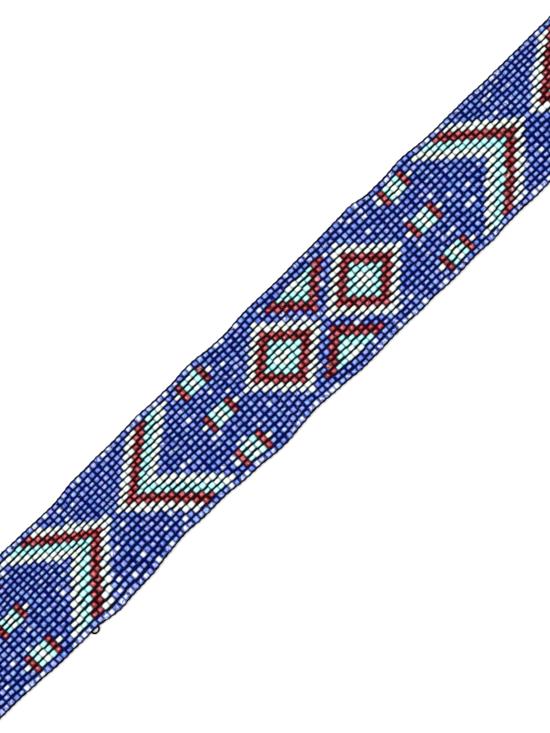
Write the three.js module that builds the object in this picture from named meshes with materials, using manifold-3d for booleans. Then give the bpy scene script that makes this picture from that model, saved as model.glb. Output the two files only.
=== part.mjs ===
// A loom-woven seed-bead belt laid flat and straight, with a plain hook and loop at its ends.
// Millimetres. +X runs along the belt to the hook, +Y to the upper long edge, +Z up from the face it rests on.
// The origin is under the middle bead: half way along, in the plane of the underside.

import * as THREE from "three";
import { mergeVertices } from "three/addons/utils/BufferGeometryUtils.js";
import Module from "manifold-3d";

const wasm = await Module();
wasm.setup();

// The beads: each lies with its hole across the belt
const beadDiameter = 2.05;
const beadLength = 1.42;
const beadEndRounding = 0.25;

// The weave: columns run along the belt, with a warp thread between each two
const columnCount = 19;
const warpGap = 0.41;
const edgeThread = 0.6;
const valleyDepth = 0.5;
const edgeFaceHeight = 0.7;

// The pattern's length in rows, and how often it is woven; one row more closes it
const rowSpacing = 2.05;
const rowsPerRepeat = 82;
const repeatCount = 5;

// The woven thread headers at the two ends
const headerThickness = 0.45;
const headerBare = 1.6;
const headerInset = 1.0;
const headerGap = 0.1;

// The folded plates that grip the headers
const plateThickness = 0.7;
const plateLength = 10.5;
const plateOverhang = 0.5;
const plateFoldCorner = 3.0;
const plateMouthCorner = 0.8;
const gripClearance = 0.1;
const foldClearance = 0.5;

// The hook and the loop that it goes into
const tongueWidth = 12.0;
const lipLength = 5.0;
const barWidth = 2.5;
const hookPlay = 0.4;
const mouthPlay = 2.6;
const slotSidePlay = 1.25;
const slotEndPlay = 2.1;
const slotStandoff = 1.0;
const loopCorner = 2.5;
const slotCorner = 1.0;

const arcSegments = 6;

// Where the weave wanders: a row for each fifth row of beads along the seen stretch, and straight beyond it.
// along counts bead rows from the middle; upper, lower and middle are shares of the half width that place the
// two long edges and the middle column; the leads are shares of the row spacing by which a bead row's upper
// and lower ends run ahead of its middle.
const weaveShareNames = ["along", "upper", "lower", "middle", "upperLead", "lowerLead"];
const weaveShares = [
  [-70, 1.0, 1.0, 0.0, 0.0, 0.0],
  [-50, 0.94, 1.08, 0.09, -0.1, 0.3],
  [-45, 0.94, 1.04, 0.09, -0.1, 0.3],
  [-40, 0.99, 1.0, 0.09, -0.15, 0.25],
  [-35, 1.0, 0.95, 0.085, 0.0, 0.0],
  [-30, 1.01, 0.98, 0.085, 0.15, 0.05],
  [-25, 1.0, 1.01, 0.07, 0.25, -0.1],
  [-20, 1.01, 1.0, 0.065, 0.3, -0.3],
  [-15, 1.0, 1.045, 0.065, 0.25, -0.1],
  [-10, 1.01, 0.97, 0.04, 0.3, -0.2],
  [-5, 1.0, 1.0, 0.03, 0.2, -0.35],
  [0, 1.01, 1.05, 0.01, 0.4, -0.25],
  [5, 1.01, 1.02, 0.0, 0.5, 0.0],
  [10, 1.02, 1.03, 0.0, 0.4, 0.0],
  [15, 1.0, 1.025, 0.0, 0.3, 0.15],
  [20, 0.99, 1.005, 0.02, 0.1, 0.25],
  [25, 1.0, 1.03, 0.035, 0.15, 0.15],
  [30, 0.98, 1.005, 0.05, 0.2, 0.1],
  [35, 0.98, 1.0, 0.06, 0.0, 0.0],
  [40, 0.98, 1.0, 0.08, -0.05, -0.25],
  [50, 0.98, 1.0, 0.08, 0.0, 0.0],
  [70, 1.0, 1.0, 0.0, 0.0, 0.0],
];

const bandThickness = beadDiameter;
const columnPitch = beadLength + warpGap;
const halfWidth = (columnCount * columnPitch - warpGap) / 2 + edgeThread;
const rowCount = rowsPerRepeat * repeatCount + 1;
const bandLength = rowCount * rowSpacing;

const headerWidth = 2 * (halfWidth - headerInset);
const plateWidth = 2 * (halfWidth + plateOverhang);
const plateHeight = headerThickness + 2 * (gripClearance + plateThickness);
const plateBottom = (bandThickness - plateHeight) / 2;
const foldRadius = plateHeight / 2;
const foldOutside = headerBare + plateLength;
const foldCentre = foldOutside - foldRadius;
const headerLength = foldCentre - foldClearance - headerGap;

const bendInner = plateThickness / 2 + hookPlay;
const bendOuter = bendInner + plateThickness;
const bendCentre = foldOutside + mouthPlay + barWidth + lipLength;
const slotWidth = tongueWidth + 2 * slotSidePlay;
const slotLength = 2 * bendOuter + slotEndPlay;
const slotStart = foldOutside + slotStandoff;

/** One bead row's section through the band, as corners that run round it with +Y to the right. */
function bandSection({ along, upper, lower, middle, upperLead, lowerLead }) {
  const x = along * rowSpacing;
  const yUpper = upper * halfWidth;
  const yLower = -lower * halfWidth;
  const yMiddle = middle * halfWidth;
  const outerColumn = edgeThread + beadLength / 2;
  const crown = beadLength / 2 - beadEndRounding;

  const place = (y, z) => {
    const above = y > yMiddle;
    const share = above ? (y - yMiddle) / (yUpper - yMiddle) : (y - yMiddle) / (yLower - yMiddle);
    const lead = (above ? upperLead : lowerLead) * share * rowSpacing;
    return new THREE.Vector3(x + lead, y, z);
  };
  const columnY = (index) => {
    const across = (2 * index) / (columnCount - 1);
    if (across < 1) return THREE.MathUtils.lerp(yLower + outerColumn, yMiddle, across);
    return THREE.MathUtils.lerp(yMiddle, yUpper - outerColumn, across - 1);
  };

  const underside = [];
  for (let index = 0; index < columnCount; index += 1) {
    const y = columnY(index);
    if (index > 0) underside.push([(columnY(index - 1) + y) / 2, valleyDepth]);
    underside.push([y - crown, 0], [y + crown, 0]);
  }
  const top = underside.map(([y, z]) => [y, bandThickness - z]).reverse();
  const lowFace = (bandThickness - edgeFaceHeight) / 2;
  const highFace = lowFace + edgeFaceHeight;
  const outline = [
    ...underside,
    [yUpper, lowFace], [yUpper, highFace],
    ...top,
    [yLower, highFace], [yLower, lowFace],
  ];
  return outline.map(([y, z]) => place(y, z));
}

/** A closed shell through sections that have the same number of corners, with a face at each end. */
function loftedShell(sections) {
  const corners = sections[0].length;
  const index = [];
  const last = sections.length * corners - corners;
  for (let ring = 0; ring < last; ring += corners) {
    for (let corner = 0; corner < corners; corner += 1) {
      const here = ring + corner;
      const next = corner === 0 ? ring + corners - 1 : here - 1;
      index.push(next, here, here + corners, next, here + corners, next + corners);
    }
  }
  const contour = sections[0].map((point) => new THREE.Vector2(point.y, point.z));
  for (const [a, b, c] of THREE.ShapeUtils.triangulateShape(contour, [])) index.push(a, c, b);
  const lastContour = sections[sections.length - 1].map((point) => new THREE.Vector2(point.y, point.z));
  for (const [a, b, c] of THREE.ShapeUtils.triangulateShape(lastContour, [])) {
    index.push(last + a, last + b, last + c);
  }
  const geometry = new THREE.BufferGeometry();
  geometry.setFromPoints(sections.flat());
  geometry.setIndex(index);
  geometry.computeVertexNormals();
  return geometry;
}

/** The woven band: straight to its ends, with the seen stretch's wander between. */
function beadedBand() {
  const seen = weaveShares.map((row) => Object.fromEntries(weaveShareNames.map((name, i) => [name, row[i]])));
  const straight = { upper: 1, lower: 1, middle: 0, upperLead: 0, lowerLead: 0 };
  const stations = [
    { along: -rowCount / 2, ...straight },
    ...seen,
    { along: rowCount / 2, ...straight },
  ];
  return loftedShell(stations.map(bandSection));
}

/** A rectangle with rounded corners, one radius at its near end and one at its far end. */
function roundedOutline(path, near, far, halfBreadth, nearRadius, farRadius) {
  const quarter = Math.PI / 2;
  path.moveTo(near + nearRadius, -halfBreadth);
  path.lineTo(far - farRadius, -halfBreadth);
  path.absarc(far - farRadius, farRadius - halfBreadth, farRadius, -quarter, 0, false);
  path.lineTo(far, halfBreadth - farRadius);
  path.absarc(far - farRadius, halfBreadth - farRadius, farRadius, 0, quarter, false);
  path.lineTo(near + nearRadius, halfBreadth);
  path.absarc(near + nearRadius, halfBreadth - nearRadius, nearRadius, quarter, 2 * quarter, false);
  path.lineTo(near, nearRadius - halfBreadth);
  path.absarc(near + nearRadius, nearRadius - halfBreadth, nearRadius, 2 * quarter, 3 * quarter, false);
  return path;
}

/** A plate of the given plan, standing from one height to another. */
function plateFromPlan(shape, bottom, height) {
  const geometry = new THREE.ExtrudeGeometry(shape, {
    depth: height, bevelEnabled: false, curveSegments: arcSegments,
  });
  return geometry.translate(0, 0, bottom);
}

/** A strip of the given side profile, drawn in X and Z, and centred across the belt. */
function stripFromProfile(shape, breadth) {
  const geometry = new THREE.ExtrudeGeometry(shape, {
    depth: breadth, bevelEnabled: false, curveSegments: arcSegments,
  });
  return geometry.rotateX(Math.PI / 2).translate(0, breadth / 2, 0);
}

function toSolid(geometry) {
  const bare = geometry.clone();
  bare.deleteAttribute("normal");
  bare.deleteAttribute("uv");
  const merged = mergeVertices(bare);
  return new wasm.Manifold(new wasm.Mesh({
    numProp: 3,
    vertProperties: new Float32Array(merged.attributes.position.array),
    triVerts: new Uint32Array(merged.index.array),
  }));
}

function fromSolid(solid) {
  const mesh = solid.getMesh();
  const geometry = new THREE.BufferGeometry();
  geometry.setAttribute("position", new THREE.BufferAttribute(new Float32Array(mesh.vertProperties), 3));
  geometry.setIndex(new THREE.BufferAttribute(new Uint32Array(mesh.triVerts), 1));
  geometry.computeVertexNormals();
  return geometry;
}

/** The thread header, from beside the last bead row to inside the folded plate. */
function threadHeader() {
  const far = headerGap + headerLength;
  const rim = headerThickness / 2;
  const plan = roundedOutline(new THREE.Shape(), headerGap, far, headerWidth / 2, rim, rim);
  return plateFromPlan(plan, (bandThickness - headerThickness) / 2, headerThickness);
}

/** The plate folded round the header's end, with its mouth towards the band. */
function foldedPlate() {
  const bottom = plateBottom;
  const top = plateBottom + plateHeight;
  const middle = plateBottom + foldRadius;
  const quarter = Math.PI / 2;
  const side = new THREE.Shape();
  side.moveTo(headerBare, bottom);
  side.lineTo(foldCentre, bottom);
  side.absarc(foldCentre, middle, foldRadius, -quarter, quarter, false);
  side.lineTo(headerBare, top);
  side.lineTo(headerBare, top - plateThickness);
  side.lineTo(foldCentre, top - plateThickness);
  side.absarc(foldCentre, middle, foldRadius - plateThickness, quarter, -quarter, true);
  side.lineTo(headerBare, bottom + plateThickness);
  side.closePath();
  const plan = roundedOutline(
    new THREE.Shape(), headerBare, foldOutside, plateWidth / 2, plateMouthCorner, plateFoldCorner,
  );
  const folded = toSolid(stripFromProfile(side, plateWidth));
  return folded.intersect(toSolid(plateFromPlan(plan, bottom - plateHeight, 3 * plateHeight)));
}

/** The hook's strip: out from under the fold, up round its bend and back over as a lip. */
function hookStrip() {
  const bottom = plateBottom;
  const middle = bottom + bendOuter;
  const top = middle + bendOuter;
  const quarter = Math.PI / 2;
  const side = new THREE.Shape();
  side.moveTo(foldCentre, bottom);
  side.lineTo(bendCentre, bottom);
  side.absarc(bendCentre, middle, bendOuter, -quarter, quarter, false);
  side.lineTo(bendCentre - lipLength, top);
  side.absarc(bendCentre - lipLength, top - plateThickness / 2, plateThickness / 2, quarter, 3 * quarter, false);
  side.lineTo(bendCentre, top - plateThickness);
  side.absarc(bendCentre, middle, bendInner, quarter, -quarter, true);
  side.lineTo(foldCentre, bottom + plateThickness);
  side.closePath();
  return toSolid(stripFromProfile(side, tongueWidth));
}

/** The flat rectangular loop, with a slot that lets the hook's bend through. */
function loopRing() {
  const far = slotStart + slotLength + barWidth;
  const halfBreadth = slotWidth / 2 + barWidth;
  const plan = roundedOutline(new THREE.Shape(), foldCentre, far, halfBreadth, slotCorner, loopCorner);
  plan.holes.push(roundedOutline(
    new THREE.Path(), slotStart, slotStart + slotLength, slotWidth / 2, slotCorner, slotCorner,
  ));
  return toSolid(plateFromPlan(plan, plateBottom, plateThickness));
}

const glassBeads = new THREE.MeshStandardMaterial({
  color: 0x4a5fb4, roughness: 0.25, metalness: 0, flatShading: true,
});
const blackThread = new THREE.MeshStandardMaterial({
  color: 0x141416, roughness: 0.85, metalness: 0, flatShading: true,
});
const brushedSteel = new THREE.MeshStandardMaterial({
  color: 0xb4b6ba, roughness: 0.35, metalness: 1, flatShading: true,
});

function named(name, geometry, material) {
  const mesh = new THREE.Mesh(geometry, material);
  mesh.name = name;
  return mesh;
}

/** A belt end, built outwards along +X from the last bead row. */
function beltEnd(headerName, fittingName, fitting) {
  const end = new THREE.Group();
  end.add(named(headerName, threadHeader(), blackThread));
  end.add(named(fittingName, fromSolid(foldedPlate().add(fitting)), brushedSteel));
  return end;
}

const belt = new THREE.Group();
belt.add(named("beaded_band", beadedBand(), glassBeads));

const hookEnd = beltEnd("hook_end_header", "hook_end", hookStrip());
hookEnd.position.x = bandLength / 2;
belt.add(hookEnd);

const loopEnd = beltEnd("loop_end_header", "loop_end", loopRing());
loopEnd.position.x = -bandLength / 2;
loopEnd.rotation.z = Math.PI;
belt.add(loopEnd);

export default belt;
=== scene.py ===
"""A loom-woven seed-bead belt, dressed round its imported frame.

Metres, in the frame's own axes: +X runs along the belt to its hook, +Y to its upper long edge, and +Z up
from the face that it rests on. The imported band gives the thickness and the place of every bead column. The
seed beads, the threads and the finishes are made here.
"""

from __future__ import annotations

import logging
import math
from collections.abc import Callable, Iterable, Sequence
from dataclasses import dataclass, field
from enum import Enum

import bpy
import numpy as np
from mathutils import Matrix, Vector


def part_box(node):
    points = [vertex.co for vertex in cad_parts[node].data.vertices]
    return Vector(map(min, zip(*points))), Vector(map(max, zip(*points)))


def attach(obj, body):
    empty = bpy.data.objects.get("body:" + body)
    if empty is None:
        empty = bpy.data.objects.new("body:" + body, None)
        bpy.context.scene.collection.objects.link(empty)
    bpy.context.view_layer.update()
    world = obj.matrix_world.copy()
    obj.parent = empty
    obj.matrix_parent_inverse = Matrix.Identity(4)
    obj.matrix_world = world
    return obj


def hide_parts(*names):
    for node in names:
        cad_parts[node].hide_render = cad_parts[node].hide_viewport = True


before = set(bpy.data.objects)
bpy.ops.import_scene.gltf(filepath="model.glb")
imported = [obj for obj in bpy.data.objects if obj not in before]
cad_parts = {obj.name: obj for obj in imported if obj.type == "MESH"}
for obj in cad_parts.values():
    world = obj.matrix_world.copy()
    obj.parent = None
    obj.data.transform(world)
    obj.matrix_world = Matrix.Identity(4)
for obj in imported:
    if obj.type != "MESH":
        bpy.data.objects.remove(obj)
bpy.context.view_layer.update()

LOG = logging.getLogger("beaded_belt")
MM = 0.001
BODY = "root"
BEAD_UV = "round_and_along"
TONE = "tone"
PALE = "pale"
PAINTED_BEAD_LIGHT = "stain"

Triple = tuple[float, float, float]
Colour = Triple
Stops = tuple[tuple[float, Colour], ...]
Values = dict[str | int, object]


def tint(red: int, green: int, blue: int) -> Colour:
    """Turns a colour as a screen shows it, from 0 to 255, into the linear colour that shaders use."""
    shares = (red / 255, green / 255, blue / 255)
    return tuple(c / 12.92 if c <= 0.04045 else ((c + 0.055) / 1.055) ** 2.4 for c in shares)


class Slot(Enum):
    """The record's material slots."""

    BLUE = "blue_beads"
    RED = "red_beads"
    TURQUOISE = "turquoise_beads"
    WHITE = "white_beads"
    THREAD = "black_thread"
    STEEL = "steel"


class Node(Enum):
    """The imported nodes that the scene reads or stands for."""

    BAND = "beaded_band"
    HOOK_HEADER = "hook_end_header"
    LOOP_HEADER = "loop_end_header"
    HOOK = "hook_end"
    LOOP = "loop_end"


@dataclass(frozen=True)
class Wire:
    """A node's output, on which Python's arithmetic adds Math nodes."""

    graph: NodeGraph
    socket: bpy.types.NodeSocket

    def _maths(self, operation: str, *values: Wire | float) -> Wire:
        """Adds one Math node on the given values."""
        return self.graph.node("ShaderNodeMath", {"operation": operation}, dict(enumerate(values)))

    def __add__(self, other: Wire | float) -> Wire:
        """This plus other."""
        return self._maths("ADD", self, other)

    def __radd__(self, other: float) -> Wire:
        """other plus this."""
        return self._maths("ADD", other, self)

    def __sub__(self, other: Wire | float) -> Wire:
        """This less other."""
        return self._maths("SUBTRACT", self, other)

    def __rsub__(self, other: float) -> Wire:
        """other less this."""
        return self._maths("SUBTRACT", other, self)

    def __mul__(self, other: Wire | float) -> Wire:
        """This times other."""
        return self._maths("MULTIPLY", self, other)

    def __rmul__(self, other: float) -> Wire:
        """other times this."""
        return self._maths("MULTIPLY", other, self)

    def sine(self) -> Wire:
        """The sine of this, in radians."""
        return self._maths("SINE", self)

    def size(self) -> Wire:
        """This without its sign."""
        return self._maths("ABSOLUTE", self)

    def rise(self, low: float, high: float) -> Wire:
        """Goes smoothly from 0 where this is low to 1 where it is high.

        Args:
            low: Where it starts to rise.
            high: Where it is all the way up.

        Returns:
            The risen value.
        """
        return self.graph.node(
            "ShaderNodeMapRange",
            {"interpolation_type": "SMOOTHSTEP"},
            {"Value": self, "From Min": low, "From Max": high},
        )

    def beside(self, output: int | str) -> Wire:
        """Another output of the same node."""
        return Wire(self.graph, self.socket.node.outputs[output])


class NodeGraph:
    """The nodes of a material or of the surround."""

    def __init__(self, owner: bpy.types.Material | bpy.types.World) -> None:
        """Starts with no nodes.

        Args:
            owner: the new material or world that the nodes belong to.
        """
        owner.use_nodes = True
        self.tree = owner.node_tree
        self.tree.nodes.clear()

    def node(
        self, kind: str, settings: Values | None = None, inputs: Values | None = None, output: int | str = 0
    ) -> Wire:
        """Adds one node, with its settings made first.

        Args:
            kind: the node's type.
            settings: the node's own properties; "stops" sets a colour ramp's places and colours.
            inputs: a value or a Wire for each named or numbered input.
            output: which output the returned Wire starts from.

        Returns:
            The node's output, or its first input where it has no output.
        """
        made = self.tree.nodes.new(kind)
        for name, value in (settings or {}).items():
            if name == "stops":
                self._set_stops(made.color_ramp, value)
            else:
                setattr(made, str(name), value)
        for key, value in (inputs or {}).items():
            if isinstance(value, Wire):
                self.tree.links.new(value.socket, made.inputs[key])
            else:
                made.inputs[key].default_value = value
        return Wire(self, made.outputs[output] if len(made.outputs) else made.inputs[0])

    @staticmethod
    def _set_stops(ramp: bpy.types.ColorRamp, stops: Stops) -> None:
        """Gives a colour ramp its places and colours.

        Args:
            ramp: the colour ramp of a new node.
            stops: its places from 0 to 1, each with its colour.
        """
        while len(ramp.elements) < len(stops):
            ramp.elements.new(1.0)
        for element, (place, colour) in zip(ramp.elements, stops, strict=True):
            element.position = place
            element.color = (*colour, 1.0)

    def mix(self, share: Wire, low: Wire | Colour, high: Wire | Colour) -> Wire:
        """Blends two colours.

        Args:
            share: 0 gives the low colour and 1 the high one.
            low: the first colour.
            high: the second colour.

        Returns:
            The blended colour.
        """
        first, second = (c if isinstance(c, Wire) else (*c, 1.0) for c in (low, high))
        return self.node("ShaderNodeMix", {"data_type": "RGBA"}, {0: share, 6: first, 7: second}, 2)

    def tinged(self, colour: Wire, share: Wire, low: Colour, high: Colour) -> Wire:
        """Tinges a colour with a blend of two filters.

        Args:
            colour: the colour.
            share: 0 gives the low filter and 1 the high one.
            low: how much of red, green and blue the first filter lets through.
            high: how much the second one does.

        Returns:
            The tinged colour.
        """
        multiply = {"data_type": "RGBA", "blend_type": "MULTIPLY"}
        return self.node("ShaderNodeMix", multiply, {0: 1.0, 6: colour, 7: self.mix(share, low, high)}, 2)

    def noise(self, scale: float, stretch: Triple = (1.0, 1.0, 1.0), detail: float = 2.0) -> Wire:
        """Soft noise from 0 to 1 in the piece's own coordinates.

        Args:
            scale: how many bumps go into a metre.
            stretch: how much finer the noise is along X, Y and Z.
            detail: how many finer layers it has.

        Returns:
            The noise.
        """
        place = self.node("ShaderNodeTexCoord", output="Object")
        stretched = self.node("ShaderNodeMapping", inputs={"Vector": place, "Scale": stretch})
        values = {"Vector": stretched, "Scale": scale, "Detail": detail}
        return self.node("ShaderNodeTexNoise", inputs=values)

    def bump(self, height: Wire, depth: float, strength: float = 1.0) -> Wire:
        """Turns a height from 0 to 1 into a shading normal.

        Args:
            height: the height.
            depth: how many metres a height of 1 stands up.
            strength: how much of the bump shows.

        Returns:
            The normal.
        """
        values = {"Height": height, "Distance": depth, "Strength": strength}
        return self.node("ShaderNodeBump", inputs=values)


class MaterialGraph(NodeGraph):
    """A material and the nodes that make its finish."""

    def __init__(self, name: str) -> None:
        """Starts an empty material.

        Args:
            name: what the material is called.
        """
        self.material = bpy.data.materials.new(name)
        super().__init__(self.material)

    def surface(self, values: Values) -> bpy.types.Material:
        """Ends the material in a principled surface.

        Args:
            values: a value or a Wire for each of its inputs.

        Returns:
            The material.
        """
        shader = self.node("ShaderNodeBsdfPrincipled", inputs=values)
        self.node("ShaderNodeOutputMaterial", inputs={"Surface": shader})
        return self.material


@dataclass(frozen=True)
class BeadGlass:
    """The glass of one colour of seed bead.

    stops run from the painted shade of the flanks and ends to the painted highlight under the crown. spread
    is how much one bead differs from the next, fleck how much the colour breaks up inside a bead,
    cloud how much of a pale bead turns to pale spots of the colour milky, partly
    milky glass and partly painted glints, and reach how far round a bead its painted highlight goes. warm
    and cool are the filters between which the beads' hues lie. stain is the bead's light, painted on
    the thread near it.

    The rest is alike in all colours. lit_end is the share of a half bead over which the painted highlight
    grows from its end, dull_flanks how much rougher the flanks under painted shade are, and hue_swing how
    many radians the hues swing through over the range of tones. A spot turns pale where its flecks and its
    bead's paleness pass cloud_start, fully after cloud_fade more, and shaded_cloud is
    how much of that shows on the flanks under painted shade. fleck_grain and ripple_grain are how many
    flecks and ripples go into a metre.
    """

    name: str
    slot: Slot
    stops: Stops
    milky: Colour
    warm: Colour
    cool: Colour
    stain: Colour
    spread: float
    fleck: float
    cloud: float
    reach: float
    roughness: float
    coat: float
    lit_end: float = 0.6
    dull_flanks: float = 0.4
    hue_swing: float = 57.0
    cloud_start: float = 0.75
    cloud_fade: float = 0.7
    shaded_cloud: float = 0.3
    fleck_grain: float = 1500.0
    ripple_grain: float = 2600.0
    ripple_height: float = 0.02 * MM

    def material(self) -> bpy.types.Material:
        """Makes the glass: a painted highlight under the crown, painted shade on the flanks and ends,
        flecks, and its own tone for each bead.

        Returns:
            The material.
        """
        graph = MaterialGraph(self.name)
        around = graph.node("ShaderNodeUVMap", {"uv_map": BEAD_UV})
        turn = graph.node("ShaderNodeSeparateXYZ", inputs={0: around})
        crown = (turn * math.tau).sine().size()
        middle = 1.0 - (turn.beside("Y") * 2.0 - 1.0).size()
        # painted_light is 1 where a highlight is painted under the crown, and falls to 0 where shade is
        # painted on the flanks and ends.
        painted_light = crown.rise(1.0 - self.reach, 0.95) * middle.rise(0.0, self.lit_end)
        tone = graph.node("ShaderNodeAttribute", {"attribute_name": TONE}, output="Fac")
        pale = graph.node("ShaderNodeAttribute", {"attribute_name": PALE}, output="Fac")
        flecks = graph.noise(self.fleck_grain).rise(0.32, 0.66)
        shade = (1.0 - self.fleck + flecks * self.fleck) * (1.0 - self.spread / 2 + tone * self.spread)
        hue = (tone * self.hue_swing).sine() * 0.5 + 0.5
        # The ramp paints the shade of the flanks and ends and the highlight under the crown, in each bead's
        # tone.
        glass = graph.node("ShaderNodeValToRGB", {"stops": self.stops}, {0: painted_light * shade})
        glass = graph.tinged(glass, hue, self.warm, self.cool)
        # Pale spots: partly milky glass and partly painted glints, fainter where shade is painted on the
        # flanks.
        milk_and_glint_spots = (flecks * 0.5 + pale * self.cloud - self.cloud_start).rise(0.0, self.cloud_fade)
        milk_and_glint_share = milk_and_glint_spots * (painted_light * (1.0 - self.shaded_cloud) + self.shaded_cloud)
        return graph.surface({
            "Base Color": graph.mix(milk_and_glint_share, glass, self.milky),
            "Roughness": (1.0 - painted_light) * self.dull_flanks + self.roughness,
            "Specular IOR Level": 0.15,
            "Coat Weight": painted_light * self.coat,
            "Coat Roughness": 0.1,
            "Normal": graph.bump(graph.noise(self.ripple_grain), self.ripple_height, 0.6),
        })


@dataclass(frozen=True)
class ThreadFinish:
    """Black waxed thread, twisted of plies, with the nearby beads' light painted on it.

    twists is how many turns go into the whole of a thread, and wear_grain how many worn spots into a metre.
    """

    name: str
    twists: float
    wear_grain: float = 700.0
    groove: float = 0.03 * MM
    deep: Colour = (0.0005, 0.0005, 0.001)
    worn: Colour = (0.004, 0.004, 0.006)

    def material(self) -> bpy.types.Material:
        """Makes the thread: slanting plies with dark grooves, a dull waxy shine, and the beads' light
        painted on it.

        Returns:
            The material.
        """
        graph = MaterialGraph(self.name)
        along = graph.node("ShaderNodeUVMap", {"uv_map": "UVMap"})
        turn = graph.node("ShaderNodeSeparateXYZ", inputs={0: along})
        ply = ((turn * self.twists + turn.beside("Y")) * math.tau).sine().size()
        wear = graph.noise(self.wear_grain, detail=3.0)
        black = graph.mix(ply * wear, self.deep, self.worn)
        # The nearby beads' light, painted on the thread as an added colour.
        stain = graph.node("ShaderNodeAttribute", {"attribute_name": PAINTED_BEAD_LIGHT}, output="Color")
        add = {"data_type": "RGBA", "blend_type": "ADD"}
        return graph.surface({
            "Base Color": graph.node("ShaderNodeMix", add, {0: 1.0, 6: black, 7: stain}, 2),
            "Roughness": wear * 0.2 + 0.55,
            "Specular IOR Level": 0.02,
            "Normal": graph.bump(ply, self.groove),
        })


@dataclass(frozen=True)
class BrushedSteel:
    """Plain steel, brushed along the width of the belt.

    scratch_grain and smear_grain are how many scratches and smears go into a metre, and fineness how much
    finer the scratches are along X, Y and Z.
    """

    name: str
    bright: Colour = (0.32, 0.32, 0.33)
    dull: Colour = (0.13, 0.13, 0.14)
    scratch_grain: float = 900.0
    fineness: Triple = (9.0, 0.25, 3.0)
    scratch_depth: float = 0.008 * MM
    smear_grain: float = 60.0

    def material(self) -> bpy.types.Material:
        """Makes the steel: long fine scratches, soft smears and a little unevenness.

        Returns:
            The material.
        """
        graph = MaterialGraph(self.name)
        scratches = graph.noise(self.scratch_grain, self.fineness, detail=4.0)
        smears = graph.noise(self.smear_grain)
        return graph.surface({
            "Base Color": graph.mix(scratches.rise(0.3, 0.7), self.dull, self.bright),
            "Roughness": smears * 0.14 + scratches * 0.12 + 0.3,
            "Metallic": 1.0,
            "Normal": graph.bump(scratches, self.scratch_depth, 0.5),
        })


class Glass(Enum):
    """The beads' four colours."""

    # Each ramp runs from the painted shade of the flanks and ends to the painted highlight under the crown.
    BLUE = BeadGlass(
        "blue_glass", Slot.BLUE,
        stops=((0.0, tint(0, 9, 104)), (0.2, tint(26, 57, 164)), (0.42, tint(101, 124, 201)),
               (0.75, tint(127, 144, 203)), (1.0, tint(158, 174, 221))),
        milky=tint(214, 224, 249), warm=(1.0, 0.88, 1.0), cool=(0.8, 1.0, 0.98), stain=tint(0, 12, 68),
        spread=0.8, fleck=0.55, cloud=1.4, reach=0.48, roughness=0.26, coat=0.9,
    )
    RED = BeadGlass(
        "red_glass", Slot.RED,
        stops=((0.0, tint(58, 0, 2)), (0.25, tint(116, 8, 16)), (0.6, tint(156, 52, 64)),
               (1.0, tint(189, 100, 114))),
        milky=tint(240, 200, 198), warm=(1.0, 0.78, 0.72), cool=(0.94, 1.0, 1.0), stain=tint(52, 0, 0),
        spread=0.8, fleck=0.5, cloud=0.75, reach=0.52, roughness=0.26, coat=0.9,
    )
    TURQUOISE = BeadGlass(
        "turquoise_glass", Slot.TURQUOISE,
        stops=((0.0, tint(82, 158, 161)), (0.4, tint(173, 228, 230)), (0.7, tint(183, 229, 231)),
               (1.0, tint(195, 236, 237))),
        milky=tint(226, 248, 246), warm=(1.0, 0.99, 0.96), cool=(0.86, 1.0, 1.0), stain=tint(0, 28, 32),
        spread=0.5, fleck=0.25, cloud=0.9, reach=0.78, roughness=0.3, coat=0.6,
    )
    WHITE = BeadGlass(
        "white_glass", Slot.WHITE,
        stops=((0.0, tint(172, 184, 181)), (0.4, tint(219, 226, 222)), (1.0, tint(231, 235, 233))),
        milky=tint(244, 240, 240), warm=(1.0, 1.0, 0.93), cool=(0.96, 0.98, 1.0), stain=tint(2, 12, 16),
        spread=0.5, fleck=0.2, cloud=0.9, reach=0.78, roughness=0.3, coat=0.6,
    )


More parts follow.
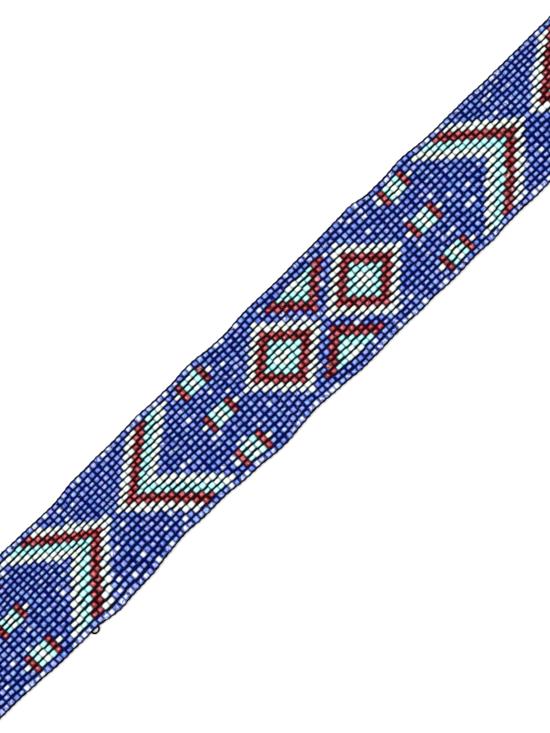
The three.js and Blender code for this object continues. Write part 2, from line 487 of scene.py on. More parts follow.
@dataclass(frozen=True)
class Chart:
    """The weaver's chart: one repeat, mirrored about its first row and its middle row, and across the band.

    Rows are counted from the repeat's first one and columns from the middle one. Each figure's bands are
    listed from its middle outwards, and a chevron's from its tip inwards. The blocks stand on the middle
    column and on block_column. block_reach is how many columns they go to each side, and one white bead
    stands block_point rows from their middle.
    """

    columns: int = 19
    repeat: int = 82
    repeats: int = 5
    band_width: int = 2
    chevron_tip: int = 1
    chevron_bands: tuple[Glass, ...] = (Glass.WHITE, Glass.RED, Glass.TURQUOISE, Glass.WHITE)
    block_row: int = 21
    block_column: int = 7
    block_reach: int = 1
    block_point: int = 3
    block_bands: tuple[Glass, ...] = (Glass.WHITE, Glass.TURQUOISE, Glass.RED)
    diamond_row: int = 33
    diamond_bands: tuple[Glass, ...] = (Glass.WHITE, Glass.TURQUOISE, Glass.RED, Glass.WHITE)
    triangle_base: int = 7
    triangle_bands: tuple[Glass, ...] = (Glass.WHITE, Glass.TURQUOISE, Glass.RED)

    @property
    def rows(self) -> int:
        """How many bead rows the whole belt has, with the one that closes the last repeat."""
        return self.repeat * self.repeats + 1

    def _band(self, bands: tuple[Glass, ...], distance: int) -> Glass | None:
        """The colour at a distance over the bands, if it falls on one."""
        return bands[distance // self.band_width] if 0 <= distance < self.band_width * len(bands) else None

    def glass(self, row: int, column: int) -> Glass:
        """Reads the chart.

        Args:
            row: the bead row, from the loop's end.
            column: the bead column, from the upper long edge.

        Returns:
            The bead's colour.
        """
        step = row % self.repeat
        step = min(step, self.repeat - step)
        side = abs(column - self.columns // 2)
        if side == self.columns // 2:
            return Glass.BLUE
        inward = self.triangle_base - side
        block = min(side, abs(side - self.block_column))
        from_block = abs(step - self.block_row)
        found = self._band(self.chevron_bands, step - self.chevron_tip - side)
        if found is None and block <= self.block_reach and from_block < len(self.block_bands):
            found = self.block_bands[from_block]
        if found is None and block == 0 and from_block == self.block_point:
            found = Glass.WHITE
        if found is None:
            found = self._band(self.diamond_bands, abs(step - self.diamond_row) + side)
        if found is None and inward >= 0:
            found = self._band(self.triangle_bands, self.repeat // 2 - step + inward)
        return found or Glass.BLUE

    def grid(self) -> list[list[Glass]]:
        """The colours of all the belt's beads, row by row."""
        return [[self.glass(row, column) for column in range(self.columns)] for row in range(self.rows)]


def new_object(name: str, data: bpy.types.ID) -> bpy.types.Object:
    """Puts new data into the scene as an object.

    Args:
        name: what the object is called.
        data: its mesh, curve, camera or light.

    Returns:
        The object.
    """
    obj = bpy.data.objects.new(name, data)
    bpy.context.scene.collection.objects.link(obj)
    return obj


def read_all(items: bpy.types.bpy_prop_collection, name: str, width: int, kind: type) -> np.ndarray:
    """Reads one property of all the items of a mesh.

    Args:
        items: the vertices, edges, corners, faces or values.
        name: the property.
        width: how many numbers it has in each item.
        kind: the kind of number.

    Returns:
        A line of numbers for each item, or one number for each where the width is 1.
    """
    values = np.empty(len(items) * width, kind)
    items.foreach_get(name, values)
    return values.reshape(-1, width) if width > 1 else values


def select_only(obj: bpy.types.Object) -> None:
    """Leaves one object selected and active.

    Args:
        obj: the object.
    """
    bpy.ops.object.select_all(action="DESELECT")
    obj.select_set(True)
    bpy.context.view_layer.objects.active = obj


def edit_faces(obj: bpy.types.Object, wanted: Callable[[bpy.types.MeshPolygon], bool]) -> None:
    """Goes into edit mode with only the wanted faces selected.

    Args:
        obj: the object to edit.
        wanted: tells whether a face is to be selected.
    """
    select_only(obj)
    bpy.ops.object.mode_set(mode="EDIT")
    bpy.ops.mesh.select_mode(type="FACE")
    bpy.ops.mesh.select_all(action="DESELECT")
    bpy.ops.object.mode_set(mode="OBJECT")
    for face in obj.data.polygons:
        face.select = wanted(face)
    bpy.ops.object.mode_set(mode="EDIT")


def dress(piece: bpy.types.Object, material: bpy.types.Material, nodes: Iterable[Node]) -> None:
    """Gives a finished piece its material and its place on the belt.

    Args:
        piece: the piece.
        material: its only material.
        nodes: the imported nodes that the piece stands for.
    """
    piece.data.materials.clear()
    piece.data.materials.append(material)
    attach(piece, BODY)
    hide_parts(*(node.value for node in nodes))
    LOG.info("%s: %d faces", piece.name, len(piece.data.polygons))


class About(Enum):
    """The axes to turn about, each as the axis that is turned and the one that it turns towards."""

    X = (1, 2)
    Y = (2, 0)
    Z = (0, 1)


def rotations(angle: np.ndarray, about: About) -> np.ndarray:
    """Makes rotation matrices.

    Args:
        angle: the angles.
        about: the axis of all of them.

    Returns:
        A matrix for each angle.
    """
    first, second = about.value
    turns = np.zeros((*angle.shape, 3, 3))
    turns[..., range(3), range(3)] = 1.0
    turns[..., first, first] = turns[..., second, second] = np.cos(angle)
    turns[..., second, first] = np.sin(angle)
    turns[..., first, second] = -np.sin(angle)
    return turns


def with_midpoints(values: np.ndarray) -> np.ndarray:
    """Puts the mean of each two values in between them.

    Args:
        values: the values.

    Returns:
        The values and the means.
    """
    spread = np.empty(2 * len(values) - 1)
    spread[0::2] = values
    spread[1::2] = (values[:-1] + values[1:]) / 2
    return spread


@dataclass
class Weave:
    """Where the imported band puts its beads.

    x and y have a row for each bead row, from the loop's end, and a column for each bead column, from the
    upper long edge. slack is how far beads stray from the band's own columns, and slack_rows and
    slack_columns how far a stray reaches. bulges gives for each bulge its row from the middle one, its edge
    (1 upper, -1 lower) and how many mm it stands out. It fades over bulge_rows, and each column further in
    takes bulge_share of it. drifts gives rows from the middle one, and how many mm the columns there stray
    upwards: those halfway to the upper edge, the middle one, and those halfway to the lower edge.
    """

    chart: Chart
    crown_depth: float = 0.01 * MM
    seed: int = 19
    slack: float = 0.09 * MM
    slack_rows: int = 3
    slack_columns: int = 2
    bulge_rows: float = 4.0
    bulge_share: float = 0.5
    bulges: tuple[tuple[int, int, float], ...] = (
        (-43, 1, 0.5), (-28, 1, 0.2), (-19, 1, 0.4), (-12, 1, -0.5), (-6, 1, 0.3), (13, 1, 0.6),
        (23, 1, 0.6), (-54, -1, -0.5), (-50, -1, 0.3), (-44, -1, 0.5), (-37, -1, -0.2), (-27, -1, -0.6),
        (-18, -1, 0.6), (7, -1, -0.2), (18, -1, 0.4), (29, -1, -0.3),
    )
    drifts: tuple[tuple[int, float, float, float], ...] = (
        (-90, 0.0, 0.0, 0.0), (-56, -0.3, 0.0, 0.7), (-49, -0.4, 0.0, 0.8), (-43, -0.1, 0.2, 0.9),
        (-37, -0.3, 0.0, 0.6), (-31, -0.1, 0.2, 0.2), (-22, 0.0, 0.0, 0.2), (-15, -0.1, 0.0, 0.2),
        (-10, -0.2, -0.2, 0.0), (-6, -0.1, -0.2, 0.0), (-2, 0.4, 0.2, 0.0), (1, 0.3, 0.2, -0.1),
        (5, -0.1, 0.0, -0.1), (9, -0.4, 0.0, 0.0), (13, -0.1, -0.1, -0.2), (16, 0.3, 0.0, -0.4),
        (21, 0.4, -0.2, -0.4), (31, 0.4, -0.3, -0.4), (70, 0.0, 0.0, 0.0),
    )
    low: Vector = field(init=False)
    high: Vector = field(init=False)
    x: np.ndarray = field(init=False)
    y: np.ndarray = field(init=False)

    def __post_init__(self) -> None:
        """Reads the band's crowns and spreads them over the bead rows."""
        self.low, self.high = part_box(Node.BAND.value)
        stations_x, stations_y = self._crowns()
        nominal = self.low.x + (np.arange(self.chart.rows) + 0.5) * self.row_spacing
        at = stations_x[:, self.chart.columns // 2]
        lead = stations_x - at[:, None]
        columns = range(self.chart.columns)
        self.x = np.stack([nominal + np.interp(nominal, at, lead[:, c]) for c in columns], axis=1)
        self.y = np.stack([np.interp(nominal, at, stations_y[:, c]) for c in columns], axis=1)
        self.y += self._wander(np.random.default_rng(self.seed)) + self._bulged() + self._drifted()

    @property
    def thickness(self) -> float:
        """The band's thickness, which is the beads' diameter."""
        return self.high.z - self.low.z

    @property
    def middle(self) -> float:
        """The height of the beads' holes."""
        return (self.high.z + self.low.z) / 2

    @property
    def row_spacing(self) -> float:
        """The distance from one bead row to the next."""
        return (self.high.x - self.low.x) / self.chart.rows

    def _crowns(self) -> tuple[np.ndarray, np.ndarray]:
        """Finds the columns at each of the band's stations.

        Returns:
            The x and the y of every column's middle, one line of columns for each station.
        """
        points = read_all(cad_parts[Node.BAND.value].data.vertices, "co", 3, float)
        top = points[points[:, 2] > self.high.z - self.crown_depth]
        top = np.unique(np.round(top[:, :2], 7), axis=0)
        breaks = np.flatnonzero(np.diff(top[:, 0]) > 2 * self.row_spacing) + 1
        stations = [s[np.argsort(-s[:, 1])].reshape(-1, 2, 2).mean(axis=1) for s in np.split(top, breaks)]
        return np.stack([s[:, 0] for s in stations]), np.stack([s[:, 1] for s in stations])

    def _wander(self, dice: np.random.Generator) -> np.ndarray:
        """Makes small smooth strays from straight columns, alike in neighbouring beads.

        Args:
            dice: where the random numbers come from.

        Returns:
            How far each bead strays along Y.
        """
        rows, columns = self.chart.rows, self.chart.columns
        padded = dice.normal(size=(rows + 2 * self.slack_rows, columns + 2 * self.slack_columns))
        smooth = np.zeros((rows, columns))
        for down in range(2 * self.slack_rows + 1):
            for across in range(2 * self.slack_columns + 1):
                smooth += padded[down:down + rows, across:across + columns]
        return smooth / smooth.std() * self.slack

    def _bulged(self) -> np.ndarray:
        """Makes the bulges and nicks of the two long edges, which fade over the columns next to them.

        Returns:
            How far each bead is moved along Y.
        """
        rows = np.arange(self.chart.rows)
        columns = np.arange(self.chart.columns)
        moved = np.zeros((self.chart.rows, self.chart.columns))
        for row, side, out in self.bulges:
            away = np.clip(np.abs(rows - self.chart.rows // 2 - row) / self.bulge_rows, 0, 1)
            inward = columns if side > 0 else columns[::-1]
            along = (1 + np.cos(math.pi * away)) / 2
            moved += side * out * MM * np.outer(along, self.bulge_share ** inward)
        return moved

    def _drifted(self) -> np.ndarray:
        """Makes the columns between the edges wander slowly, now closer together and now farther apart.

        Returns:
            How far each bead is moved along Y.
        """
        rows = np.arange(self.chart.rows) - self.chart.rows // 2
        stations, *strays = np.array(self.drifts).T
        across = np.linspace(0, math.pi, self.chart.columns)
        halves = np.sin(2 * across)
        shares = (np.clip(halves, 0, None), np.sin(across) ** 4, np.clip(-halves, 0, None))
        lines = [np.interp(rows, stations, stray) * MM for stray in strays]
        return sum(np.outer(line, share) for line, share in zip(lines, shares, strict=True))


class Stamp:
    """One modelled mesh held as arrays, from which joined copies are made."""

    def __init__(self, obj: bpy.types.Object) -> None:
        """Takes the mesh from an object, and removes the object.

        Args:
            obj: the modelled object, at the origin.
        """
        mesh = obj.data
        self.points = read_all(mesh.vertices, "co", 3, float)
        self.edges = read_all(mesh.edges, "vertices", 2, int)
        self.corners = read_all(mesh.loops, "vertex_index", 1, int)
        self.starts = read_all(mesh.polygons, "loop_start", 1, int)
        self.uv = read_all(mesh.uv_layers[0].data, "uv", 2, float)
        sharp = mesh.attributes.get("sharp_edge")
        self.sharp = read_all(sharp.data, "value", 1, bool) if sharp else np.zeros(len(self.edges), bool)
        bpy.data.objects.remove(obj)

    def copies(self, name: str, points: np.ndarray, marks: dict[str, np.ndarray]) -> bpy.types.Object:
        """Joins one copy of the mesh for each set of points.

        Args:
            name: what the new piece is called.
            points: the copies' vertices, as copies by vertices by 3.
            marks: for each named attribute, a number for each copy.

        Returns:
            The new piece.
        """
        count, each = points.shape[:2]
        first = np.arange(count)
        mesh = bpy.data.meshes.new(name)
        mesh.vertices.add(count * each)
        mesh.vertices.foreach_set("co", points.ravel())
        mesh.edges.add(count * len(self.edges))
        mesh.edges.foreach_set("vertices", (self.edges[None] + first[:, None, None] * each).ravel())
        mesh.loops.add(count * len(self.corners))
        mesh.loops.foreach_set("vertex_index", (self.corners[None] + first[:, None] * each).ravel())
        mesh.polygons.add(count * len(self.starts))
        mesh.polygons.foreach_set("loop_start", (self.starts + first[:, None] * len(self.corners)).ravel())
        sharp = mesh.attributes.new("sharp_edge", "BOOLEAN", "EDGE")
        sharp.data.foreach_set("value", np.tile(self.sharp, count))
        for mark, values in marks.items():
            layer = mesh.attributes.new(mark, "FLOAT", "POINT")
            layer.data.foreach_set("value", np.repeat(values, each))
        mesh.uv_layers.new(name=BEAD_UV).data.foreach_set("uv", np.tile(self.uv.ravel(), count))
        mesh.update(calc_edges=True)
        return new_object(name, mesh)


@dataclass
class SeedBead:
    """One drilled seed bead, with its hole along Y."""

    diameter: float
    length: float
    hole: float = 0.8 * MM
    shoulder: float = 0.14 * MM
    sides: int = 12
    smooth_angle: float = math.radians(80)

    def stamp(self) -> Stamp:
        """Models the bead from a cylinder: its ends are drawn in to the hole's rims and bridged.

        Returns:
            The bead, in shares of its radius across and of half its length along its hole.
        """
        bpy.ops.object.select_all(action="DESELECT")
        bpy.ops.mesh.primitive_cylinder_add(
            vertices=self.sides, radius=self.diameter / 2, depth=self.length - 2 * self.shoulder,
            end_fill_type="NGON", rotation=(math.pi / 2, 0, 0),
        )
        bead = bpy.context.active_object
        bpy.ops.object.transform_apply(location=False, rotation=True, scale=False)
        edit_faces(bead, lambda face: abs(face.normal.y) > 0.5)
        drawn_in = (self.diameter - self.hole) / 2 * math.cos(math.pi / self.sides)
        bpy.ops.mesh.inset(thickness=drawn_in, depth=self.shoulder, use_individual=True)
        bpy.ops.mesh.bridge_edge_loops()
        bpy.ops.object.mode_set(mode="OBJECT")
        bpy.ops.object.shade_smooth_by_angle(angle=self.smooth_angle)
        self._unroll(bead.data)
        stamp = Stamp(bead)
        stamp.points /= (self.diameter / 2, self.length / 2, self.diameter / 2)
        return stamp

    def _unroll(self, mesh: bpy.types.Mesh) -> None:
        """Lays the UV map: the turn round the hole, a quarter at the crown, and the way along it.

        Args:
            mesh: the bead's mesh.
        """
        layer = mesh.uv_layers[0].data
        for face in mesh.polygons:
            whole = math.atan2(face.center.z, face.center.x)
            for corner in face.loop_indices:
                point = mesh.vertices[mesh.loops[corner].vertex_index].co
                turn = math.atan2(point.z, point.x)
                turn += math.tau * round((whole - turn) / math.tau)
                layer[corner].uv = (turn / math.tau + 0.5, point.y / self.length + 0.5)


@dataclass
class BeadWork:
    """All the seed beads of the band.

    fill is a bead's length as a share of its column's pitch, uneven how much lengths differ, room the least
    gap for the warp, and settle how often each row's beads are eased apart along its weft. undersize is how
    much smaller than the band's thickness the smallest bead is. stagger, tilt and spin are how far beads
    stand out of line with their row, lean and turn, and snug is how much wider than its row a bead is, so
    that rows touch. stray_rarity keeps the palest beads few, edge_bloom makes more of them along
    the edges as painted highlights on the edge beads, and strays gives the row, from the middle one, and the
    column, from 1, of those that catch the eye. A bead's paleness becomes pale spots, partly milky glass and
    partly painted glints.
    """

    weave: Weave
    size_seed: int = 411
    shade_seed: int = 2050
    fill: float = 0.73
    uneven: float = 0.15
    room: float = 0.28 * MM
    settle: int = 4
    undersize: float = 0.03
    stagger: float = 0.03 * MM
    tilt: float = math.radians(2.5)
    spin: float = math.radians(20.0)
    snug: float = 1.03
    stray_rarity: float = 9.0
    edge_bloom: float = 0.66
    strays: tuple[tuple[int, int], ...] = (
        (-51, 19), (-48, 1), (-45, 18), (-44, 14), (-41, 19), (-38, 19), (-36, 1), (-24, 1), (-24, 7),
        (-22, 12), (-21, 15), (-20, 15), (-15, 4), (-6, 2), (-5, 19), (-2, 8), (-1, 12), (6, 3), (11, 17),
        (12, 19), (17, 2), (18, 8), (22, 14), (25, 10), (27, 13), (27, 19), (28, 11), (30, 1), (34, 19),
        (39, 15),
    )
    x: np.ndarray = field(init=False)
    y: np.ndarray = field(init=False)
    half_length: np.ndarray = field(init=False)

    def __post_init__(self) -> None:
        """Gives every bead its own length and place, in the room that its row has."""
        dice = np.random.default_rng(self.size_seed)
        pitch = np.abs(np.gradient(self.weave.y, axis=1))
        spread = dice.normal(1.0, self.uneven, pitch.shape)
        spread = np.clip(spread, 1 - 2 * self.uneven, 1 + 2 * self.uneven)
        half = pitch * self.fill * spread / 2
        y = self.weave.y.copy()
        for _ in range(self.settle):
            gaps = y[:, :-1] - y[:, 1:] - half[:, :-1] - half[:, 1:]
            y[:, 1:-1] += (gaps[:, :-1] - gaps[:, 1:]) / 4
        gaps = y[:, :-1] - y[:, 1:] - half[:, :-1] - half[:, 1:]
        lack = np.clip(self.room - gaps, 0.0, None) / 2
        half[:, :-1] -= lack
        half[:, 1:] -= lack
        self.half_length = half
        self.y = y
        staggered = dice.normal(0, self.stagger, y.shape)
        self.x = self.weave.x + np.clip(staggered, -2 * self.stagger, 2 * self.stagger)

    def _turns(self, dice: np.random.Generator) -> np.ndarray:
        """Turns each bead along its row, with a small lean and a turn about its hole.

        Args:
            dice: where the random numbers come from.

        Returns:
            A rotation matrix for each bead.
        """
        lead = np.gradient(self.weave.x, axis=1) / np.gradient(self.weave.y, axis=1)
        yaw = dice.uniform(-self.tilt, self.tilt, lead.shape) - np.arctan(lead)
        roll = dice.uniform(-self.tilt, self.tilt, lead.shape) / 2
        spin = dice.uniform(-self.spin, self.spin, lead.shape)
        return rotations(yaw, About.Z) @ rotations(roll, About.X) @ rotations(spin, About.Y)

    def _shapes(self, stamp: Stamp, dice: np.random.Generator) -> np.ndarray:
        """Sizes, turns and places a copy of the bead for every place in the weave.

        Args:
            stamp: the bead.
            dice: where the random numbers come from.

        Returns:
            The copies' vertices, as rows by columns by vertices by 3.
        """
        weave = self.weave
        radius = weave.thickness / 2 * dice.uniform(1 - self.undersize, 1, weave.x.shape)
        spacing = np.gradient(self.x, axis=0)
        scale = np.stack([spacing / 2 * self.snug, self.half_length, radius], axis=-1)
        centre = np.stack([self.x, self.y, np.full(radius.shape, weave.middle)], axis=-1)
        sized = stamp.points[None, None] * scale[:, :, None]
        return np.einsum("rcij,rcvj->rcvi", self._turns(dice), sized) + centre[:, :, None]

    def _shades(self, dice: np.random.Generator) -> dict[str, np.ndarray]:
        """Gives every bead its tone and its paleness, which becomes milky spots and painted glints.

        Args:
            dice: where the random numbers come from.

        Returns:
            For each attribute, a number for each bead.
        """
        rows = self.weave.chart.rows
        tone = dice.uniform(0, 1, self.weave.x.shape)
        pale = dice.uniform(0, 1, self.weave.x.shape) ** self.stray_rarity
        # Paler edge beads, as painted highlights along both edges.
        pale[:, (0, -1)] += dice.uniform(0, self.edge_bloom, (rows, 2))
        for row, column in self.strays:
            pale[rows // 2 + row, column - 1] = 1.0
        return {TONE: tone, PALE: pale}

    def build(self) -> None:
        """Models one bead and copies it to every place in the weave.

        The copies are joined by colour: three lengths of blue beads, and one piece for each other colour.
        """
        chart = self.weave.chart
        dice = np.random.default_rng(self.shade_seed)
        stamp = SeedBead(self.weave.thickness, float(np.median(self.half_length)) * 2).stamp()
        shapes = self._shapes(stamp, dice)
        shades = self._shades(dice)
        glasses = list(Glass)
        colours = np.array([[glasses.index(glass) for glass in row] for row in chart.grid()])
        thirds = np.arange(chart.rows) * 3 // chart.rows
        for number, glass in enumerate(glasses):
            slot = glass.value.slot
            material = glass.value.material()
            lengths = ("_loop_end", "_middle", "_hook_end") if glass is Glass.BLUE else ("",)
            for third, length in enumerate(lengths):
                chosen = colours == number
                if length:
                    chosen &= (thirds == third)[:, None]
                marks = {name: values[chosen] for name, values in shades.items()}
                dress(stamp.copies(slot.value + length, shapes[chosen], marks), material, [Node.BAND])


def spun_threads(
    name: str, runs: Sequence[np.ndarray], diameter: float, rounds: int = 0, closed: bool = False
) -> bpy.types.Object:
    """Makes round threads along runs of points, as one mesh.

    Args:
        name: what the piece is called.
        runs: the points that each thread follows, with its own share of the diameter as the fourth number.
        diameter: the threads' diameter.
        rounds: how finely they are rounded; 0 gives 4 sides and each more adds 2.
        closed: whether each run closes on itself.

    Returns:
        The piece.
    """
    curve = bpy.data.curves.new(name, "CURVE")
    curve.dimensions = "3D"
    curve.bevel_depth = diameter / 2
    curve.bevel_resolution = rounds
    curve.use_fill_caps = not closed
    for run in runs:
        spline = curve.splines.new("POLY")
        spline.points.add(len(run) - 1)
        spline.points.foreach_set("co", np.column_stack([run[:, :3], np.ones(len(run))]).ravel())
        spline.points.foreach_set("radius", run[:, 3])
        spline.use_cyclic_u = closed
        spline.use_smooth = True
    select_only(new_object(name, curve))
    bpy.ops.object.convert(target="MESH")
    return bpy.context.active_object


@dataclass
class Threads:
    """The warp between the columns, the heavier edge threads, and the weft that holds the beads.

    warp, edge and weft are their diameters. The warp fills the gap between two columns, from least_girth to
    most_girth times its diameter. slackening is how much thicker it swells between two rows, partly
    slack and partly dark thread put in the corner gaps where shade falls, and header_girth how thick it is
    in the headers. nip is how far the edge threads press into the shoulders of the beads, and edge_sway how
    far they draw in between two rows. evening holds the weights that smooth them over three rows. The small
    slack loop stands out at loop_row, counted from the middle one. Its sweep is in degrees.
    """

    weave: Weave
    beads: BeadWork
    warp: float = 0.48 * MM
    edge: float = 0.6 * MM
    weft: float = 0.16 * MM
    warp_twists: float = 1400.0
    weft_twists: float = 90.0
    least_girth: float = 0.75
    most_girth: float = 1.6
    header_girth: float = 0.7
    slackening: float = 0.7
    nip: float = 0.08 * MM
    edge_sway: float = 0.14 * MM
    evening: Triple = (0.25, 0.5, 0.25)
    loop_row: float = -54.5
    loop_reach: float = 1.25 * MM
    loop_flatness: float = 0.8
    loop_stand: float = 0.25 * MM
    loop_sweep: tuple[float, float] = (-30.0, 210.0)
    loop_points: int = 13

    def _ends(self) -> tuple[float, float]:
        """Where the warp starts and stops, inside the two end plates."""
        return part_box(Node.LOOP_HEADER.value)[0].x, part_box(Node.HOOK_HEADER.value)[1].x

    def _run(self, x: np.ndarray, y: np.ndarray, girth: np.ndarray) -> np.ndarray:
        """Runs a thread at the height of the holes, and on straight into both headers.

        Args:
            x: where it goes along the belt.
            y: where it goes across the belt.
            girth: its thickness there, as a share of its diameter.

        Returns:
            The run.
        """
        start, stop = self._ends()
        x = np.concatenate([[start, self.weave.low.x], x, [self.weave.high.x, stop]])
        y = np.pad(y, 2, "edge")
        girth = np.pad(girth, 2, constant_values=self.header_girth)
        return np.stack([x, y, np.full(len(x), self.weave.middle), girth], axis=1)

    def warp_runs(self) -> list[np.ndarray]:
        """Runs the inner warp threads, each midway between two columns of beads, where it fills their gap.

        Returns:
            The runs.
        """
        x, y, half = self.weave.x, self.beads.y, self.beads.half_length
        runs = []
        for gap in range(self.weave.chart.columns - 1):
            above = y[:, gap] - half[:, gap]
            below = y[:, gap + 1] + half[:, gap + 1]
            filling = np.clip((above - below) / self.warp, self.least_girth, self.most_girth)
            girth = with_midpoints(filling)
            # Swells between rows: partly slack, partly dark thread put in the corner gaps where shade falls.
            girth[1::2] = np.maximum(filling[:-1], filling[1:]) + self.slackening
            middle = (x[:, gap] + x[:, gap + 1]) / 2
            runs.append(self._run(with_midpoints(middle), with_midpoints((above + below) / 2), girth))
        return runs

    def _edge_y(self, side: int) -> np.ndarray:
        """Lays an edge thread against its beads, evened out a little.

        Args:
            side: 1 at the upper edge and -1 at the lower one.

        Returns:
            Its y at each row.
        """
        column = 0 if side > 0 else -1
        reach = self.beads.half_length[:, column] + self.edge / 2 - self.nip
        touching = self.beads.y[:, column] + side * reach
        return np.convolve(np.pad(touching, 1, "edge"), self.evening, "valid")

    def edge_runs(self) -> list[np.ndarray]:
        """Runs the two edge threads, drawn in a little between the rows.

        Returns:
            The runs.
        """
        runs = []
        for side, column in ((1, 0), (-1, -1)):
            x = with_midpoints(self.weave.x[:, column])
            y = with_midpoints(self._edge_y(side))
            y[1::2] -= side * self.edge_sway
            runs.append(self._run(x, y, np.ones(len(x))))
        return runs

    def weft_runs(self) -> list[np.ndarray]:
        """Runs the weft: over the warp through each row, tight round the edge thread, and back under it.

        Returns:
            A closed run for each bead row.
        """
        reach = (self.edge + self.weft) / 2
        pulled = self.edge / 2
        upper, lower = self._edge_y(1), self._edge_y(-1)
        last = self.weave.chart.columns - 1
        bend = np.radians([45.0, 0.0, -45.0])
        runs = []
        for row, (x, y) in enumerate(zip(self.beads.x, self.beads.y, strict=True)):
            pick = [(x[column], y[column], reach) for column in (0, last // 2, last)]
            turn = [(x[last], lower[row] - pulled * math.cos(a), pulled * math.sin(a)) for a in bend]
            back = [(px, py, -pz) for px, py, pz in reversed(pick)]
            close = [(x[0], upper[row] + pulled * math.cos(a), -pulled * math.sin(a)) for a in bend]
            run = np.array(pick + turn + back + close) + (0, 0, self.weave.middle)
            runs.append(np.column_stack([run, np.ones(len(run))]))
        return runs

    def slack_loop(self) -> np.ndarray:
        """Runs the small slack loop that stands out from the lower edge.

        Returns:
            The run.
        """
        row = self.weave.chart.rows // 2 + self.loop_row
        rows = np.arange(self.weave.chart.rows)
        sweep = np.radians(np.linspace(*self.loop_sweep, self.loop_points))
        x = np.interp(row, rows, self.weave.x[:, -1]) + self.loop_reach * np.cos(sweep)
        reach = self.loop_reach * self.loop_flatness
        y = np.interp(row, rows, self._edge_y(-1)) - self.loop_stand - reach * np.sin(sweep)
        return np.stack([x, y, np.full(len(sweep), self.weave.middle), np.ones(len(sweep))], axis=1)

    def _stain(self, piece: bpy.types.Object) -> None:
        """Paints the light of the nearest beads on a piece's threads, as a colour for each point.

        Args:
            piece: the piece.
        """
        weave, chart = self.weave, self.weave.chart
        points = read_all(piece.data.vertices, "co", 3, float)
        rows = np.floor((points[:, 0] - weave.low.x) / weave.row_spacing).astype(int)
        on_band = (rows >= 0) & (rows < chart.rows)
        rows = np.clip(rows, 0, chart.rows - 1)
        reach = (weave.high.y - weave.low.y) / chart.columns
        near = np.clip(1 - np.abs(points[:, 1:2] - self.beads.y[rows]) / reach, 0, 1) * on_band[:, None]
        # Each bead's light, as the colour painted on the thread next to it.
        bead_light_colours = np.array([[glass.value.stain for glass in row] for row in chart.grid()])
        colours = np.einsum("pc,pck->pk", near, bead_light_colours[rows]) / np.maximum(near.sum(axis=1), 0.5)[:, None]
        layer = piece.data.color_attributes.new(name=PAINTED_BEAD_LIGHT, type="FLOAT_COLOR", domain="POINT")
        layer.data.foreach_set("color", np.column_stack([colours, np.ones(len(points))]).ravel())

    def build(self) -> None:
        """Makes and dresses every thread of the band."""
        warp_finish = ThreadFinish("black_warp_thread", self.warp_twists).material()
        weft_finish = ThreadFinish("black_weft_thread", self.weft_twists).material()
        warp = spun_threads("warp_threads", self.warp_runs(), self.warp)
        edges = spun_threads("edge_threads", self.edge_runs(), self.edge, rounds=1)
        weft = spun_threads("weft_threads", self.weft_runs(), self.weft, closed=True)
        loop = spun_threads("slack_thread_loop", [self.slack_loop()], self.edge, rounds=2)
        # Paints the nearby beads' light on the warp and the weft.
        self._stain(warp)
        self._stain(weft)
        for piece in (warp, edges):
            dress(piece, warp_finish, [Node.BAND])
        for piece in (weft, loop):
            dress(piece, weft_finish, [Node.BAND])


@dataclass
class HeaderWeave:
    """The plain woven thread at one end, where the warp runs on past the beads and into the end plate.

    pick_spacing is how far apart the thread's passes lie, and crimp how far it rises and dips at a warp
    thread.
    """

    name: str
    node: Node
    threads: Threads
    thread: float = 0.24 * MM
    twists: float = 2600.0
    pick_spacing: float = 0.29 * MM
    crimp: float = 0.17 * MM

    def build(self) -> None:
        """Weaves one long thread to and fro, over and under the warp."""
        weave = self.threads.weave
        low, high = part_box(self.node.value)
        row = -1 if self.node is Node.HOOK_HEADER else 0
        warps = [run[row, 1] for run in self.threads.warp_runs()]
        edges = [run[row, 1] for run in self.threads.edge_runs()]
        across = np.array(sorted([*warps, *edges]))
        whole = np.ones(len(across))
        picks = []
        places = np.arange(low.x + self.thread / 2, high.x - self.thread / 2, self.pick_spacing)
        for number, x in enumerate(places):
            lift = self.crimp * np.where((np.arange(len(across)) + number) % 2, 1, -1)
            line = np.stack([whole * x, across, weave.middle + lift, whole], axis=1)
            picks.append(line if number % 2 else line[::-1])
        piece = spun_threads(self.name, [np.concatenate(picks)], self.thread)
        finish = ThreadFinish(f"{self.name}_thread", self.twists)
        dress(piece, finish.material(), [self.node])


@dataclass
class EndFitting:
    """A folded steel end plate with its hook or loop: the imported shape, with its edges eased."""

    name: str
    node: Node
    easing: float = 0.12 * MM
    easing_steps: int = 2
    merge_distance: float = 0.001 * MM
    flat_angle: float = math.radians(1.0)
    edge_angle: float = math.radians(40.0)

    def build(self, steel: bpy.types.Material) -> None:
        """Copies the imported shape, merges it, and rounds its edges.

        Args:
            steel: the finish.
        """
        piece = new_object(self.name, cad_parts[self.node.value].data.copy())
        select_only(piece)
        bpy.ops.object.mode_set(mode="EDIT")
        bpy.ops.mesh.select_all(action="SELECT")
        bpy.ops.mesh.remove_doubles(threshold=self.merge_distance)
        bpy.ops.mesh.dissolve_limited(angle_limit=self.flat_angle)
        bpy.ops.object.mode_set(mode="OBJECT")
        bevel = piece.modifiers.new("eased_edges", "BEVEL")
        bevel.width = self.easing
        bevel.segments = self.easing_steps
        bevel.limit_method = "ANGLE"
        bevel.angle_limit = self.edge_angle
        bpy.ops.object.modifier_apply(modifier=bevel.name)
        bpy.ops.object.shade_smooth_by_angle(angle=self.edge_angle)
        dress(piece, steel, [self.node])


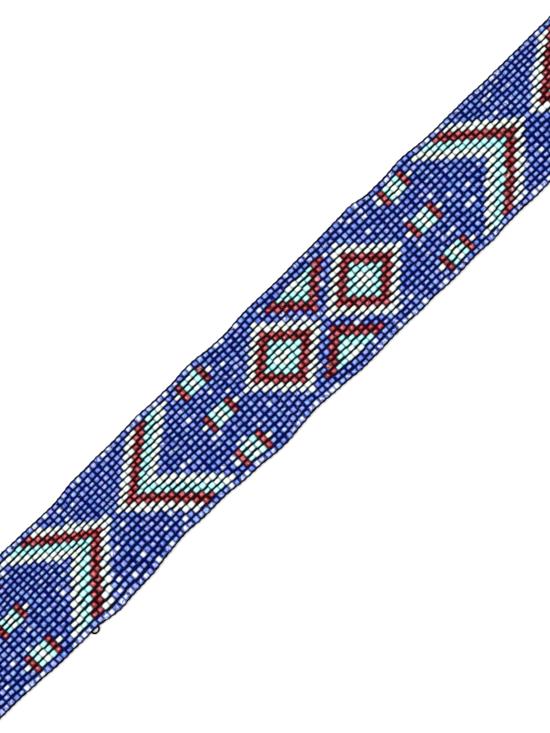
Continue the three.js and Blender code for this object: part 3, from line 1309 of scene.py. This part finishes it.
@dataclass(frozen=True)
class SoftLight:
    """One soft light, even over the whole belt, from a place's direction and some degrees wide."""

    name: str
    place: Triple
    width: float
    power: float

    def build(self) -> None:
        """Makes the light."""
        data = bpy.data.lights.new(self.name, "SUN")
        data.angle = math.radians(self.width)
        data.energy = self.power
        light = new_object(self.name, data)
        light.location = self.place
        light.rotation_euler = (-Vector(self.place)).to_track_quat("-Z", "Y").to_euler()


@dataclass
class Studio:
    """The plain pale floor, the soft lights, and a camera straight above.

    The camera stands where the photograph's does: turned so that the belt runs up to the right, with the
    middle bead at its place in the picture. sky_strength is the surround's light overhead, as a share of
    its light at the horizon, and horizon_reach the height, as a share of the way up, at which it is
    reached.
    """

    picture: tuple[int, int] = (550, 733)
    middle_bead: tuple[float, float] = (324.15, 318.45)
    belt_angle: float = math.radians(44.3)
    pixels_per_metre: float = 3430.0
    lens: float = 100.0
    sensor: float = 36.0
    lights: tuple[SoftLight, ...] = (
        SoftLight("overhead_light", (-0.03, 0.12, 1.2), 24.0, 2.1),
        SoftLight("upper_light", (-0.15, 0.7, 0.9), 29.0, 1.7),
        SoftLight("lower_light", (0.2, -0.75, 0.9), 37.0, 0.8),
    )
    horizon_reach: float = 0.35
    sky_strength: float = 0.2
    floor_width: float = 40.0
    floor_grain: float = 40.0
    floor_dull: Colour = (0.86, 0.86, 0.86)
    floor_bright: Colour = (0.9, 0.9, 0.9)

    def build(self, top: float) -> None:
        """Makes the camera, the lights and the floor.

        Args:
            top: the height of the face that the camera looks at.
        """
        self._camera(top)
        for light in self.lights:
            light.build()
        self._surround()
        self._floor()

    def _camera(self, top: float) -> None:
        """Hangs a long lens straight above, turned about the line of sight.

        Args:
            top: the height of the face that the camera looks at.
        """
        data = bpy.data.cameras.new("camera")
        data.lens = self.lens
        data.sensor_width = self.sensor
        camera = new_object("camera", data)
        bpy.context.scene.camera = camera
        width, height = self.picture
        right = (self.middle_bead[0] - width / 2) / self.pixels_per_metre
        up = (height / 2 - self.middle_bead[1]) / self.pixels_per_metre
        cos, sin = math.cos(self.belt_angle), math.sin(self.belt_angle)
        distance = height / self.pixels_per_metre * self.lens / self.sensor
        camera.location = (-(right * cos + up * sin), right * sin - up * cos, top + distance)
        camera.rotation_euler = (0.0, 0.0, -self.belt_angle)

    def _surround(self) -> None:
        """Makes a pale surround, white at the horizon and softer above it, and keeps the colours plain."""
        world = bpy.data.worlds.new("surround")
        graph = NodeGraph(world)
        direction = graph.node("ShaderNodeTexCoord", output="Generated")
        height = graph.node("ShaderNodeSeparateXYZ", inputs={0: direction}, output="Z").size()
        strength = 1.0 - height.rise(0.0, self.horizon_reach) * (1.0 - self.sky_strength)
        values = {"Color": (1.0, 1.0, 1.0, 1.0), "Strength": strength}
        light = graph.node("ShaderNodeBackground", inputs=values)
        graph.node("ShaderNodeOutputWorld", inputs={"Surface": light})
        bpy.context.scene.world = world
        bpy.context.scene.view_settings.view_transform = "Standard"

    def _floor(self) -> None:
        """Lays the floor level with the face that the belt rests on."""
        bpy.ops.object.select_all(action="DESELECT")
        bpy.ops.mesh.primitive_plane_add(size=self.floor_width)
        floor = bpy.context.active_object
        floor.name = "floor"
        graph = MaterialGraph("pale_floor")
        grain = graph.noise(self.floor_grain)
        floor.data.materials.append(graph.surface({
            "Base Color": graph.mix(grain, self.floor_dull, self.floor_bright),
            "Roughness": 0.9,
        }))


def main() -> None:
    """Builds the belt's pieces in order, then what it lies on and is lit by."""
    logging.basicConfig(level=logging.INFO, format="%(name)s: %(message)s")
    weave = Weave(Chart())
    beads = BeadWork(weave)
    beads.build()
    threads = Threads(weave, beads)
    threads.build()
    HeaderWeave("hook_end_weave", Node.HOOK_HEADER, threads).build()
    HeaderWeave("loop_end_weave", Node.LOOP_HEADER, threads).build()
    steel = BrushedSteel("brushed_steel").material()
    EndFitting("hook_end_plate", Node.HOOK).build(steel)
    EndFitting("loop_end_plate", Node.LOOP).build(steel)
    Studio().build(weave.high.z)


if __name__ == "__main__":
    main()
